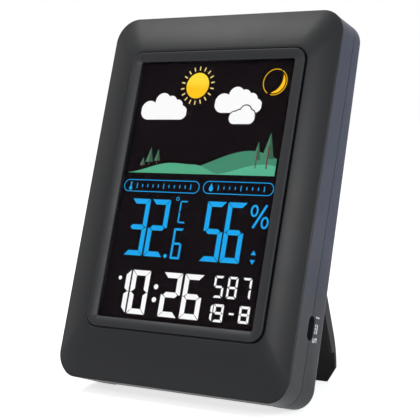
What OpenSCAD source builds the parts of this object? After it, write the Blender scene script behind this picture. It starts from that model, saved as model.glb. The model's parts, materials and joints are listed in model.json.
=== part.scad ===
// Home weather station: a colour display in a wedge-shaped case that leans
// back on a fold-out leg, with its controls and batteries at the back.
//
// Case frame: X to the right seen from the front, Y backwards from the front
// ridge, Z up along the face. Rear frame: on the sloping rear face, Y out of
// it. stance() leans the case back until its edge and the leg stand level.

/* [Case] */
// Width of the case
case_w = 130; // [122:1:150]
// Height of the case along its face
case_h = 185; // [182:1:205]
// Radius of the case's corners seen from the front
corner_r = 10; // [8.5:0.5:13]
// Depth of the case at its top edge
depth_top = 25.2; // [25:0.2:28]
// Depth of the case at its bottom edge
depth_bottom = 31.5; // [31:0.5:35]
// Wall of the housing shells
wall = 2; // [1.6:0.1:2.4]
// Rounding of the rear cover's outer edge
rear_edge_r = 3; // [2.5:0.5:4]
// How far the front frame curves back from its ridge to its outer edge
frame_fall = 3.6; // [3:0.2:4.2]
// Corner radius of the front frame's outline
frame_r = 12.5; // [10:0.5:15]
// How far the front frame stands out beyond the band at each side
frame_over = 1.1; // [0.8:0.1:1.4]
// How far the front frame stands out beyond the band at the top
frame_over_top = 0.6; // [0.4:0.1:0.9]
// Depth of the side band between the two seams
band_d = 12.6; // [11.8:0.2:13.4]
// Width of the shadow gap between the front frame and the band
front_seam = 0.5; // [0.3:0.05:0.6]
// Width of the shadow gap between the band and the rear cover
seam = 0.3; // [0.2:0.05:0.4]
// How far a seam's gap is let in from the outer face
seam_in = 0.8; // [0.5:0.1:1.2]
// Depth of the rear cover's tongue inside the band
tongue_d = 3; // [2:0.5:4]
// Gap between parts that are fitted by hand
fit_gap = 0.1; // [0.05:0.01:0.15]

/* [Display] */
// Width of the clear window
window_w = 88.9; // [82:0.5:92]
// Height of the clear window
window_h = 129.8; // [126:0.5:132]
// Height of the window's lower edge above the case's bottom
window_z = 31; // [30:0.5:33]
// Corner radius of the window
window_r = 1.2; // [0.8:0.1:2]
// How far the window lies behind the ridge
window_set = 1; // [0.8:0.1:1.4]
// How far the window lies behind the bezel's inner edge
window_in = 0.85; // [0.5:0.05:1.1]
// Width of the bezel beside the window
bevel_side = 5.9; // [5:0.1:6.6]
// Width of the bezel above the window
bevel_top = 5; // [4.5:0.1:6.2]
// Width of the bezel below the window
bevel_bottom = 5.1; // [4.6:0.1:6.4]
// How far the bezel's outer edge stands out in front of the ridge
bezel_out = 0.9; // [0.5:0.1:1.2]
// Width of the shadow gap around the bezel
bezel_gap = 0.6; // [0.4:0.1:0.8]
// Width of the shadow gap above the bezel
bezel_gap_top = 0.3; // [0.2:0.1:0.8]
// Depth of the shadow gap around the bezel, from the ridge
bezel_gap_d = 1.8; // [1.2:0.1:2.4]
// Rounding of the bezel's outer edge
bezel_edge = 0.5; // [0.3:0.1:0.7]
// Corner radius of the front frame's opening
ridge_r = 7; // [5:0.5:8]
// Thickness of the front frame's seat in the band
flange_t = 1.4; // [1.2:0.1:1.8]
// Width of the flange behind the bezel
bezel_flange = 3; // [2:0.5:4]
// Thickness of the clear window
window_t = 1; // [0.8:0.1:1.2]
// Thickness of the display glass
lcd_t = 2.2; // [1.8:0.1:2.4]
// Thickness of the light guide
guide_t = 2; // [1.6:0.1:2.2]
// Thickness of the reflector film
film_t = 0.3; // [0.2:0.05:0.4]
// Thickness of the display holder
holder_t = 1.2; // [1:0.1:1.4]
// Height of the light source below the guide
lamp_h = 3; // [2.5:0.1:4]
// Width of the display's ribbon
ribbon_w = 40; // [30:1:50]

/* [Circuit] */
// Gap between the main board and the case's sides
board_side = 15; // [14:0.5:16]
// Height of the main board
board_h = 118; // [116:1:120]
// Thickness of the main board
board_t = 1.6; // [1.2:0.1:1.8]
// Gap between the display holder and the main board
board_gap = 1; // [0.8:0.1:1.4]
// Distance of the board's screws from its upper and lower edges
board_inset = 8; // [7:0.5:9]
// Distance of the board's screws from its side edges
board_inset_x = 16; // [15:0.5:17]
// Radius of the board's screws
board_screw_r = 1.1; // [0.9:0.05:1.3]
// Radius of the case's screws
case_screw_r = 1.25; // [1.1:0.05:1.4]
// Distance of the case's screws from the case's edges
screw_inset = 9.5; // [9:0.25:10]
// Length of a case screw below its head
case_screw_len = 8.6; // [7:0.2:8.8]

/* [Power socket] */
// Height of the socket's middle above the case's bottom
socket_z = 37; // [36:0.5:60]
// Length of the slot in the case
slot_len = 11.4; // [11:0.2:12.4]
// Width of the slot in the case
slot_w = 5.2; // [5:0.1:5.8]
// Distance from the case's side to the connector's mouth
socket_set = 4.8; // [4.6:0.1:5.4]
// Width of the connector's shell
shell_w = 8.9; // [8.8:0.05:9]
// Thickness of the connector's shell across the slot
shell_d = 3.3; // [3.2:0.05:3.4]
// Length of the connector's shell
shell_len = 7.4; // [6.8:0.2:8]

/* [Batteries] */
// Radius of a cell
cell_r = 5.2; // [5.1:0.05:5.25]
// Length of a cell
cell_len = 44.5; // [43.5:0.1:44.6]
// Number of cells
cells = 3;
// Distance between the cells' axes
cell_pitch = 10.9; // [10.8:0.1:11.4]
// Working length of a contact spring
spring_len = 4; // [3.5:0.25:5]
// Thickness of a contact plate
contact_t = 0.5; // [0.3:0.1:0.6]
// Wall of the battery bay
bay_wall = 1.2; // [1:0.1:1.4]
// Height of the battery bay's lower edge above the stand's recess
bay_rise = 8; // [7:0.5:9]
// Thickness of the battery door
door_t = 1.8; // [1.6:0.1:2]
// Rim of the battery door around the bay
door_rim = 3; // [2.5:0.25:3.5]
// Gap around the battery door
door_gap = 0.3; // [0.25:0.05:0.4]
// Radius of the finger notch in the battery door
notch_r = 6; // [5:0.5:7]

/* [Buttons] */
// Radius of a button
button_r = 3.5; // [3:0.25:4]
// How far a button stands out of the rear face
button_out = 0.9; // [0.6:0.1:1.2]
// Travel of a button
button_travel = 0.5; // [0.3:0.05:0.6]
// Distance of the buttons from the case's sides
button_inset = 21; // [20:0.5:22]
// Distance between buttons in a column
button_pitch = 13; // [11:0.5:13]
// Gap around a button in its hole
button_fit = 0.1; // [0.08:0.01:0.1]
// Radius of a button's stem
stem_r = 1.8; // [1.5:0.1:2.2]

/* [Stand] */
// Width of the stand leg
leg_w = 93; // [84:1:94]
// Length of the leg's straight part from its hinge
leg_straight = 79; // [74:1:82]
// Radius of the leg's curved end
leg_bend_r = 54; // [48:1:60]
// Angle of the leg's curved end
leg_bend = 27; // [24:1:29]
// Thickness of the leg's plate
leg_t = 1.8; // [1.6:0.1:2.2]
// Depth of the leg's side flanges at the hinge
flange_d = 6; // [5:0.25:6]
// Depth of the leg's side flanges at their lower end
flange_end_d = 4; // [3:0.25:4.5]
// Thickness of the leg's side flanges
leg_flange_t = 2; // [1.6:0.1:2.4]
// Width of the corner cut at the foot
foot_cut = 5; // [4:0.1:6.5]
// Height of the corner cut at the foot
foot_rise = 6.4; // [5:0.1:7.5]
// Angle between the closed and the open leg
open_angle = 34.7; // [32:0.1:37]
// Distance from the leg's outer face to its hinge axis
hinge_in = 3.2; // [3:0.1:3.4]
// Radius of a hinge pin
pin_r = 1.2; // [1:0.05:1.4]
// Length of a hinge pin
pin_len = 8; // [7:0.5:9]
// Gap between a hinge pin and the leg
pin_fit = 0.06; // [0.03:0.01:0.1]
// Depth of the stand's recess below the rear face
recess_d = 8.6; // [8.4:0.1:9]
// Gap beside the leg in its recess
recess_gap = 1; // [0.6:0.1:1.4]

/* [Wall hook] */
// Radius of the hook hole's entry
hook_r = 4; // [3.5:0.25:4.5]
// Radius of the hook hole's neck
neck_r = 2; // [1.5:0.1:2.2]
// Length of the hook hole's neck
neck_len = 7; // [6:0.5:8]
// Distance of the hook hole's entry from the top of the rear face
hook_drop = 20; // [19:0.5:21]

/* [Hidden] */
$fn = 48;

// Places along the depth
band_y0 = frame_fall + front_seam;
band_y1 = band_y0 + band_d;
cover_y0 = band_y1 + seam;
bezel_y1 = band_y0 + flange_t + 1.5;
lcd_y0 = window_set + window_t + fit_gap;
guide_y0 = lcd_y0 + lcd_t + fit_gap;
film_y0 = guide_y0 + guide_t + fit_gap;
holder_y0 = max(bezel_y1, film_y0 + film_t + fit_gap);
holder_y1 = holder_y0 + holder_t;
board_y0 = holder_y1 + board_gap;
board_y1 = board_y0 + board_t;

// The front frame's opening, and how the frame falls away from it
window_z1 = window_z + window_h;
ridge_w = window_w + 2 * (bevel_side + bezel_gap);
ridge_z0 = window_z - bevel_bottom - bezel_gap;
ridge_z1 = window_z1 + bevel_top + bezel_gap_top;
front_w = case_w + 2 * frame_over;
front_h = case_h + frame_over_top;
frame_steps = 8;
frame_power = 1.5;
tongue_t = 1.2;

// The bezel's crown: steepest at the window, level at its outer edge
bezel_steps = 4;
bezel_power = 1.7;
bezel_top = 0.3;
bezel_y0 = window_set - window_in;
function bezel_y(s) = bezel_y0 - (bezel_out + bezel_y0) * (1 - pow(1 - s, bezel_power));

// The rear face's slope
wedge = atan((depth_bottom - depth_top) / case_h);
function rear_y(z) = depth_bottom - z * tan(wedge);
function rear_z(z) = (z + rear_edge_r * sin(wedge)) / cos(wedge);
skin = 0.01;

// The stand's hinge, in the rear frame
leg_reach = leg_straight + (leg_bend_r - leg_t / 2) * sin(leg_bend);
hinge_z = leg_reach + 0.8;
recess_w = leg_w + 2 * recess_gap;
heel_r = hinge_in * sqrt(2);
stop_z = heel_r * cos(45 - open_angle) + 0.05;
recess_z1 = hinge_z + stop_z;
recess_wall = 1.8;
ear_w = 7;
pin_socket = 4;
leg_top = hinge_in;
bend_steps = 10;
flange_turn = 10;

// The foot's middle in the case frame, and the lean that sets it level with
// the rear cover's lower edge
function turned(p, a) = [p[0] * cos(a) - p[1] * sin(a), p[0] * sin(a) + p[1] * cos(a)];
function from_rear(p) = turned(p, wedge) + [depth_bottom, 0];
function from_leg(p) = from_rear(turned(p, open_angle) + [-hinge_in, hinge_z]);
bend_centre = [hinge_in - leg_bend_r, -leg_straight];
foot_mid = bend_centre + (leg_bend_r - leg_t / 2) * [cos(leg_bend), -sin(leg_bend)];
foot_at = from_leg(foot_mid);
edge_at = from_rear([-rear_edge_r, rear_z(rear_edge_r)]);
foot_from_edge = foot_at - edge_at;
lean = atan2(foot_from_edge[1], foot_from_edge[0]) + asin(rear_edge_r / norm(foot_from_edge));
floor_z = turned(foot_at, -lean)[1];
front_y = turned([frame_fall, 0], -lean)[0];
back_y = turned(from_leg(bend_centre), -lean)[0] + leg_bend_r;

// The battery bay, in the case frame
cap_r = 1.9;
cap_h = 0.8;
plate_w = 8;
spring_base_r = 4;
spring_hole_r = 1;
spring_r = 3.4;
spring_step = 0.4;
spring_wave = 0.35;
spring_wall = 0.5;
bay_w = cell_len + spring_len + 2 * contact_t + 0.2;
bay_h = cells * cell_pitch + 0.4;
bay_z0 = recess_z1 + bay_rise;
bay_z1 = bay_z0 + bay_h;
bay_y1 = board_y1 + 0.4 + bay_wall;
cell_y = bay_y1 + cell_r + fit_gap;
door_w = bay_w + 2 * door_rim;
door_h = bay_h + 2 * door_rim;
door_z = (bay_z0 + bay_z1) / 2;

// The buttons, by their places on the rear face
button_x = case_w / 2 - button_inset;
column_z = door_z;
buttons = [[button_x, column_z + button_pitch], [button_x, column_z], [button_x, column_z - button_pitch],
    [-button_x, column_z + button_pitch / 2], [-button_x, column_z - button_pitch / 2]];
switch_h = 3.4;
plunger_h = 0.8;
plunger_r = 1.7;
switch_w = 6;
button_flange_t = 1;
button_flange_r = button_r + 1.1;

// The case's screws
seat_y = board_y1 + 4.2;
joint_y = seat_y - 2;
boss_r = 3;
screw_head_r = 2.4;
screw_head_t = 1.8;
screw_x = case_w / 2 - screw_inset;
screw_places = [for (x = [-1, 1], z = [screw_inset, case_h - screw_inset]) [x * screw_x, z]];

// The main board, its screws and the ribbon
board_w = case_w - 2 * board_side;
board_z0 = window_z + 3;
board_z1 = board_z0 + board_h;
board_places = [for (x = [-1, 1], z = [board_z0 + board_inset, board_z1 - board_inset])
    [x * (board_w / 2 - board_inset_x), z]];
post_r = 2.6;
board_head_t = 1.4;
ribbon_t = 0.3;
ribbon_z = window_z1 - 1.8;
ribbon_lap = 4;

// The parts on the main board, from its lower edge and its middle
controller_w = 16;
controller_t = 1.6;
controller_z = 38;
radio_w = 8;
radio_h = 6;
radio_x = 20;
radio_z = 37;
charger_w = 10;
charger_h = 6;
charger_x = 21;
charger_z = 35;
small_chip_t = 1.4;
capacitor_r = 3.2;
capacitor_h = 4.5;
capacitor_x = 34;
capacitor_z = 26;

// The power socket
socket_y = band_y1 + seam / 2;
socket_x = case_w / 2 - socket_set;
collar = 1.2;
usb_board_t = 1.2;
usb_board_w = 11;
usb_board_h = 20;
usb_board_y = socket_y + shell_d / 2;

// The rear cover's small parts
hook_z = case_h - hook_drop;
sensor_z = 52;
sensor_x = (recess_w / 2 + recess_wall + case_w / 2 - wall) / 2;
small_post_r = 1.6;
small_post_z = 7;
sensor_post = 4;
sensor_edge = 2.1;
sensor_w = case_w / 2 - wall - recess_w / 2 - recess_wall - 2 * sensor_edge;
sensor_h = 20;
sensor_chip_w = sensor_w / 2;
vent_len = 7;
vent_w = 1.4;
vent_pitch = 3.2;
vents = 6;
buzzer_r = 6;
buzzer_h = 3.4;
buzzer_x = (button_x + button_flange_r + case_w / 2 - wall) / 2;
buzzer_hole_r = 3.9;
sound_ring_r = 3;
sound_hole_r = 0.7;

// ---- Shared shapes ----

// A flat outline with round corners, from z0 to z1
module outline(w, z0, z1, r) {
    translate([-w / 2 + r, z0]) square([w - 2 * r, z1 - z0]);
    translate([-w / 2, z0 + r]) square([w, z1 - z0 - 2 * r]);
    for (x = [-1, 1], z = [z0 + r, z1 - r]) translate([x * (w / 2 - r), z]) circle(r);
}

// The case's outline, let in by a distance
module case_outline(inset) {
    outline(case_w - 2 * inset, inset, case_h - inset, corner_r - inset);
}

// Carries a flat outline through the depth from y0 to y1
module slab(y0, y1) {
    translate([0, y1, 0]) rotate([90, 0, 0]) linear_extrude(y1 - y0) children();
}

// A round bar along the depth
module bar(x, z, y0, y1, r) {
    translate([x, y1, z]) rotate([90, 0, 0]) cylinder(h = y1 - y0, r = r);
}

// A block given by its lowest and highest corner
module block(low, high) {
    translate(low) cube(high - low);
}

// From the rear face's frame to the case frame
module rear() {
    translate([0, depth_bottom, 0]) rotate([wedge, 0, 0]) children();
}

// From the leg's frame, closed, to the case frame, with the leg open
module leg_frame() {
    rear() translate([0, -hinge_in, hinge_z]) rotate([open_angle, 0, 0]) children();
}

// Leans the case back on its leg, over the middle of its footprint
module stance() {
    translate([0, -(front_y + back_y) / 2, -floor_z]) rotate([-lean, 0, 0]) children();
}

// A disc with one rounded edge, facing out of the rear face
module edge_disc(r, edge) {
    rotate([-90, 0, 0]) rotate_extrude() polygon(concat([[0, 0], [0, -edge - skin], [r, -edge - skin]],
        [for (a = [0:15:90]) [r - edge + edge * cos(a), -edge + edge * sin(a)]]));
}

// The solid that the rear cover is cut from
module cover_solid() {
    hull() {
        slab(cover_y0, cover_y0 + skin) case_outline(0);
        rear() for (x = [-1, 1], z = [rear_z(corner_r), rear_z(case_h - corner_r)])
            translate([x * (case_w / 2 - corner_r), 0, z]) edge_disc(corner_r, rear_edge_r);
    }
}

// The hollow inside the rear cover
module cover_hollow() {
    intersection() {
        slab(cover_y0 - 2, depth_bottom) case_outline(wall);
        rear() block([-case_w, -2 * depth_bottom, -case_h], [case_w, -wall, 2 * case_h]);
    }
}

// The slot for the power plug, cut inwards from the case's side
module plug_slot(grow, x0) {
    for (z = [-1, 1]) translate([x0, socket_y, socket_z + z * (slot_len - slot_w) / 2])
        rotate([0, 90, 0]) cylinder(h = case_w, r = slot_w / 2 + grow);
    block([x0, socket_y - slot_w / 2 - grow, socket_z - (slot_len - slot_w) / 2],
        [x0 + case_w, socket_y + slot_w / 2 + grow, socket_z + (slot_len - slot_w) / 2]);
}

// ---- Housing ----

// The front frame: a shallow pillow with its ridge around the display
module front_frame() stance() color([0.24, 0.24, 0.25]) difference() {
    union() {
        hull() for (i = [0:frame_steps]) {
            t = i / frame_steps;
            y = frame_fall * pow(1 - t, frame_power);
            slab(y, y + skin) outline(front_w + (ridge_w - front_w) * t, ridge_z0 * t,
                front_h + (ridge_z1 - front_h) * t, frame_r + (ridge_r - frame_r) * t);
        }
        slab(frame_fall, band_y0) case_outline(seam_in);
    }
    slab(-1, band_y0 + 1) outline(ridge_w, ridge_z0, ridge_z1, ridge_r);
}

// The side band, with the seat of the front frame and the screw bosses
module mid_housing() stance() color([0.31, 0.33, 0.38]) difference() {
    union() {
        difference() {
            slab(band_y0, band_y1) case_outline(0);
            slab(band_y0 + flange_t, band_y1 + 1) case_outline(wall);
        }
        for (p = screw_places) bar(p[0], p[1], band_y0, joint_y, boss_r);
        intersection() {
            plug_slot(collar, socket_x + fit_gap);
            block([0, band_y0, 0], [case_w / 2 - skin, band_y1, case_h]);
        }
    }
    slab(band_y0 - 1, band_y0 + flange_t + 1) outline(ridge_w, ridge_z0, ridge_z1, ridge_r);
    for (p = screw_places) bar(p[0], p[1], joint_y - case_screw_len + 1, joint_y + 1, case_screw_r + 0.05);
    plug_slot(0, socket_x);
}

// What stands inside the rear cover: the walls of the recess and the bay,
// the bosses, the tongue and the posts
module cover_inside() {
    rear() block([-recess_w / 2 - recess_wall, -recess_d - recess_wall, -10],
        [recess_w / 2 + recess_wall, 0, recess_z1 + recess_wall]);
    for (x = [-1, 1]) rear() translate([x * (recess_w / 2 + pin_socket / 2), -hinge_in, hinge_z])
        rotate([0, 90, 0]) cylinder(h = pin_socket, r = pin_r + 2, center = true);
    rear() block([-door_w / 2 - door_rim, -door_t - wall, door_z - door_h / 2 - door_rim],
        [door_w / 2 + door_rim, 0, door_z + door_h / 2 + door_rim]);
    block([-bay_w / 2 - bay_wall, bay_y1 - bay_wall, bay_z0 - bay_wall],
        [bay_w / 2 + bay_wall, depth_bottom, bay_z1 + bay_wall]);
    for (p = screw_places) bar(p[0], p[1], joint_y, depth_bottom, boss_r + 1.2);
    difference() {
        union() {
            slab(cover_y0 - seam - tongue_d, cover_y0 + wall) case_outline(wall + fit_gap);
            slab(cover_y0, cover_y0 + wall) case_outline(wall / 2);
        }
        slab(cover_y0 - seam - tongue_d - 1, cover_y0 + wall + 1) case_outline(wall + fit_gap + tongue_t);
        plug_slot(collar + fit_gap, socket_x);
    }
    intersection() {
        plug_slot(collar, socket_x + fit_gap);
        block([0, cover_y0, 0], [case_w / 2, depth_bottom, case_h]);
    }
    for (z = [-1, 1]) {
        bar(socket_x - usb_board_w / 2, socket_z + z * small_post_z, usb_board_y + usb_board_t,
            depth_bottom, small_post_r);
        bar(-sensor_x, sensor_z + z * small_post_z, rear_y(sensor_z) - wall - sensor_post,
            depth_bottom, small_post_r);
    }
}

// The rear cover: a shell with the stand's recess and the battery bay
module rear_cover() stance() color([0.36, 0.37, 0.41]) difference() {
    union() {
        cover_solid();
        intersection() {
            cover_inside();
            slab(band_y0, cover_y0 + 1) case_outline(wall + fit_gap);
        }
    }
    difference() {
        cover_hollow();
        cover_inside();
    }
    // the stand's recess, open at the lower edge, and its pin sockets
    rear() block([-recess_w / 2, -recess_d, -10], [recess_w / 2, 10, recess_z1]);
    for (x = [-1, 1]) rear() translate([x * (recess_w / 2 + pin_socket / 2), -hinge_in, hinge_z])
        rotate([0, 90, 0]) cylinder(h = pin_socket, r = pin_r + 0.02, center = true);
    // the battery bay, and the door's rebate and finger notch
    block([-bay_w / 2, bay_y1, bay_z0], [bay_w / 2, depth_bottom + 1, bay_z1]);
    rear() block([-door_w / 2 - door_gap, -door_t - fit_gap, door_z - door_h / 2 - door_gap],
        [door_w / 2 + door_gap, 5, door_z + door_h / 2 + door_gap]);
    // the screws' counterbores and shanks
    for (p = screw_places) {
        bar(p[0], p[1], seat_y, depth_bottom + 1, screw_head_r + 0.4);
        bar(p[0], p[1], joint_y - 1, seat_y + 1, case_screw_r + 0.2);
    }
    // the buttons' holes
    rear() for (b = buttons) bar(b[0], b[1], -wall - 2, 2, button_r + button_fit);
    // the wall hook's keyhole
    rear() bar(0, hook_z, -wall - 1, 2, hook_r);
    rear() bar(0, hook_z + neck_len, -wall - 1, 2, neck_r);
    rear() block([-neck_r, -wall - 1, hook_z], [neck_r, 2, hook_z + neck_len]);
    // the sensor's vents and the buzzer's sound holes
    rear() for (i = [0:vents - 1]) block(
        [-sensor_x - vent_len / 2, -wall - 1, sensor_z + (i - (vents - 1) / 2) * vent_pitch - vent_w / 2],
        [-sensor_x + vent_len / 2, 2, sensor_z + (i - (vents - 1) / 2) * vent_pitch + vent_w / 2]);
    rear() for (a = [0:60:300]) bar(-buzzer_x + sound_ring_r * cos(a), column_z + sound_ring_r * sin(a),
        -wall - 1, 2, sound_hole_r);
    plug_slot(0, socket_x);
}

// ---- Display ----

// The bezel's outline a share s of the way from the window to its outer
// edge, let in by a distance
module bezel_outline(s, inset) {
    outline(window_w + 2 * (fit_gap + s * (bevel_side - fit_gap) - inset),
        window_z - fit_gap - s * (bevel_bottom - fit_gap) + inset,
        window_z1 + fit_gap + s * (bevel_top - fit_gap) - inset,
        window_r + s * (ridge_r - bezel_gap - window_r) - inset);
}

// The crowned bezel: it stands out of the front frame and dips to the window
module display_bezel() stance() color([0.2, 0.21, 0.23]) difference() {
    union() {
        hull() {
            slab(-bezel_out, -bezel_out + skin) bezel_outline(1, bezel_edge);
            slab(bezel_edge - bezel_out, bezel_gap_d) bezel_outline(1, 0);
        }
        slab(bezel_gap_d, band_y0 + flange_t) outline(ridge_w - 2 * fit_gap, ridge_z0 + fit_gap,
            ridge_z1 - fit_gap, ridge_r - fit_gap);
        slab(band_y0 + flange_t, bezel_y1) outline(ridge_w + 2 * bezel_flange, ridge_z0 - bezel_flange,
            ridge_z1 + bezel_flange, ridge_r + bezel_flange);
    }
    slab(-bezel_out - 1, bezel_y1 + 1) bezel_outline(0, 0);
    for (i = [0:bezel_steps - 1]) hull() for (s = [i, i + 1] / bezel_steps)
        slab(bezel_y(s) - skin, bezel_y(s)) bezel_outline(s, s * (bezel_edge + bezel_top));
}

// One flat layer of the display, shortened at its lower and upper end
module layer(y0, t, low, high) {
    slab(y0, y0 + t) outline(window_w, window_z + low, window_z1 - high, window_r);
}

module display_window() stance() color([0.6, 0.65, 0.7, 0.4]) layer(window_set, window_t, 0, 0);

module lcd_panel() stance() color([0.06, 0.06, 0.07]) layer(lcd_y0, lcd_t, 0, 0);

module light_guide() stance() color([0.9, 0.93, 0.95]) layer(guide_y0, guide_t, lamp_h + 0.4, 4);

module reflector_film() stance() color([0.95, 0.95, 0.95]) layer(film_y0, film_t, lamp_h + 0.4, 4);

// The strip of lamps under the light guide
module backlight_strip() stance() color([0.85, 0.8, 0.5]) {
    block([-window_w / 2 + 4, guide_y0, window_z],
        [window_w / 2 - 4, guide_y0 + guide_t, window_z + lamp_h - 1.6]);
    for (x = [-35:14:35]) block([x - 2, guide_y0 + 0.3, window_z + lamp_h - 1.6],
        [x + 2, guide_y0 + guide_t - 0.3, window_z + lamp_h]);
}

// The plate that closes the display's back and carries the main board
module lcd_holder() stance() color([0.8, 0.8, 0.8]) difference() {
    union() {
        slab(holder_y0, holder_y1) outline(ridge_w + 2 * bezel_flange - 1, ridge_z0 - bezel_flange + 0.5,
            ridge_z1 + bezel_flange - 0.5, ridge_r + bezel_flange - 0.5);
        for (p = board_places) bar(p[0], p[1], holder_y0, board_y0, post_r);
    }
    for (p = board_places) bar(p[0], p[1], holder_y0 + 0.3, board_y0 + 1, board_screw_r + 0.05);
    block([-ribbon_w / 2 - 1, holder_y0 - 1, ribbon_z - ribbon_t - 0.3],
        [ribbon_w / 2 + 1, holder_y1 + 1, ribbon_z + 0.3]);
}

// The flat ribbon from the display glass to the main board
module display_ribbon() stance() color([0.75, 0.45, 0.15]) {
    block([-ribbon_w / 2, lcd_y0 + lcd_t, ribbon_z - ribbon_t], [ribbon_w / 2, board_y0, ribbon_z]);
    block([-ribbon_w / 2, board_y0 - ribbon_t, board_z1 - ribbon_lap], [ribbon_w / 2, board_y0, ribbon_z]);
}

// ---- Circuit ----

module main_board() stance() color([0.1, 0.35, 0.2]) difference() {
    slab(board_y0, board_y1) outline(board_w, board_z0, board_z1, 2);
    for (p = board_places) bar(p[0], p[1], board_y0 - 1, board_y1 + 1, board_screw_r + 0.2);
}

// One chip on the board, by its middle
module chip(x, z, w, h, t) {
    block([x - w / 2, board_y1, board_z0 + z - h / 2], [x + w / 2, board_y1 + t, board_z0 + z + h / 2]);
}

// The controller, the radio receiver, the power chip and two capacitors
module board_chips() stance() color([0.08, 0.08, 0.08]) {
    chip(0, controller_z, controller_w, controller_w, controller_t);
    chip(-radio_x, radio_z, radio_w, radio_h, small_chip_t);
    chip(charger_x, charger_z, charger_w, charger_h, small_chip_t);
    for (x = [-1, 1])
        bar(x * capacitor_x, board_z0 + capacitor_z, board_y1, board_y1 + capacitor_h, capacitor_r);
}

// The switches behind the buttons
module tact_switches() stance() color([0.15, 0.15, 0.15]) for (b = buttons) {
    block([b[0] - switch_w / 2, board_y1, b[1] - switch_w / 2],
        [b[0] + switch_w / 2, board_y1 + switch_h, b[1] + switch_w / 2]);
    bar(b[0], b[1], board_y1 + switch_h, board_y1 + switch_h + plunger_h, plunger_r);
}

module board_screws() stance() color([0.7, 0.7, 0.72]) for (p = board_places) difference() {
    union() {
        bar(p[0], p[1], board_y1, board_y1 + board_head_t, board_screw_r + 1);
        bar(p[0], p[1], holder_y0 + 0.4, board_y1 + skin, board_screw_r);
    }
    bar(p[0], p[1], board_y1 + board_head_t - 0.6, board_y1 + board_head_t + 1,
        board_screw_r * 0.6, $fn = 6);
}

// The power socket's own board, on two posts of the rear cover
module usb_board() stance() color([0.1, 0.3, 0.2]) block(
    [socket_x - usb_board_w, usb_board_y, socket_z - usb_board_h / 2],
    [socket_x, usb_board_y + usb_board_t, socket_z + usb_board_h / 2]);

// A long round-ended bar into the case from the socket's mouth
module socket_bar(width, depth, x0, x1) {
    for (z = [-1, 1]) translate([x0, socket_y, socket_z + z * (width - depth) / 2])
        rotate([0, 90, 0]) cylinder(h = x1 - x0, r = depth / 2);
    block([x0, socket_y - depth / 2, socket_z - (width - depth) / 2],
        [x1, socket_y + depth / 2, socket_z + (width - depth) / 2]);
}

module usb_shell() stance() color([0.75, 0.75, 0.77]) difference() {
    socket_bar(shell_w, shell_d, socket_x - shell_len, socket_x);
    socket_bar(shell_w - 0.6, shell_d - 0.6, socket_x - shell_len + 1, socket_x + 1);
}

module usb_tongue() stance() color([0.1, 0.1, 0.1]) block(
    [socket_x - shell_len + 1, socket_y - 0.35, socket_z - 3.2],
    [socket_x - 0.6, socket_y + 0.35, socket_z + 3.2]);

// The temperature and humidity sensor behind its vents
module climate_sensor() stance() color([0.1, 0.35, 0.5]) {
    sensor_y = rear_y(sensor_z) - wall - sensor_post;
    block([-sensor_x - sensor_w / 2, sensor_y - 1, sensor_z - sensor_h / 2],
        [-sensor_x + sensor_w / 2, sensor_y, sensor_z + sensor_h / 2]);
    block([-sensor_x - sensor_chip_w / 2, sensor_y, sensor_z - sensor_chip_w / 2],
        [-sensor_x + sensor_chip_w / 2, sensor_y + 1.4, sensor_z + sensor_chip_w / 2]);
}

// The alarm's buzzer, behind its sound holes
module buzzer() stance() color([0.12, 0.12, 0.12]) rear() difference() {
    bar(-buzzer_x, column_z, -wall - buzzer_h, -wall, buzzer_r);
    bar(-buzzer_x, column_z, -wall - 1, -wall + 1, buzzer_hole_r);
}

// ---- Batteries ----

// The place of a cell: its height, and which way its plus end points
function cell_z(i) = bay_z0 + 0.2 + (i + 0.5) * cell_pitch;
function plus_side(i) = 1 - 2 * (i % 2);

// One cell with its plus cap, lying against its contact plate
module battery_cell(i) stance() color([0.15, 0.35, 0.6]) {
    plus_x = bay_w / 2 - contact_t;
    translate([0, cell_y, cell_z(i)]) mirror([plus_side(i) > 0 ? 0 : 1, 0, 0]) rotate([0, 90, 0]) {
        translate([0, 0, plus_x - cell_len]) cylinder(h = cell_len - cap_h, r = cell_r);
        translate([0, 0, plus_x - cap_h]) cylinder(h = cap_h - 0.05, r = cap_r);
    }
}

module battery_cell_a() battery_cell(0);
module battery_cell_b() battery_cell(1);
module battery_cell_c() battery_cell(2);

// A coil spring of a few turns, as a pleated cone around its axis
function spring_point(k, r) = [r - spring_step * k + (k % 2 == 0 ? spring_wave : -spring_wave),
    contact_t + k * (spring_len - 0.1) / 4];
module battery_springs() stance() color([0.8, 0.8, 0.8]) for (i = [0:cells - 1])
    translate([0, cell_y, cell_z(i)]) mirror([plus_side(i) > 0 ? 0 : 1, 0, 0])
        translate([-bay_w / 2, 0, 0]) rotate([0, 90, 0]) {
            difference() {
                cylinder(h = contact_t, r = spring_base_r);
                translate([0, 0, -1]) cylinder(h = 3, r = spring_hole_r);
            }
            rotate_extrude() polygon(concat([for (k = [0:4]) spring_point(k, spring_r)],
                [for (k = [4:-1:0]) spring_point(k, spring_r - spring_wall)]));
        }

// The plates that the cells' plus ends press on
module battery_plates() stance() color([0.8, 0.8, 0.8]) for (i = [0:cells - 1])
    translate([0, cell_y, cell_z(i)]) mirror([plus_side(i) > 0 ? 0 : 1, 0, 0])
        block([bay_w / 2 - contact_t, -plate_w / 2, -plate_w / 2], [bay_w / 2, plate_w / 2, plate_w / 2]);

// The battery door, with its finger notch and the ribs that hold the cells
module battery_door() stance() color([0.34, 0.35, 0.38]) rear() difference() {
    union() {
        block([-door_w / 2, -door_t, door_z - door_h / 2], [door_w / 2, 0, door_z + door_h / 2]);
        for (x = [-14, 14]) block([x - 0.6, -door_t - 0.6, door_z - bay_h / 2 + 2],
            [x + 0.6, -door_t + skin, door_z + bay_h / 2 - 2]);
    }
    translate([0, notch_r - 0.9, door_z + door_h / 2 - 5]) rotate([0, 90, 0])
        cylinder(h = 16, r = notch_r, center = true);
}

// ---- Buttons ----

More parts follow.
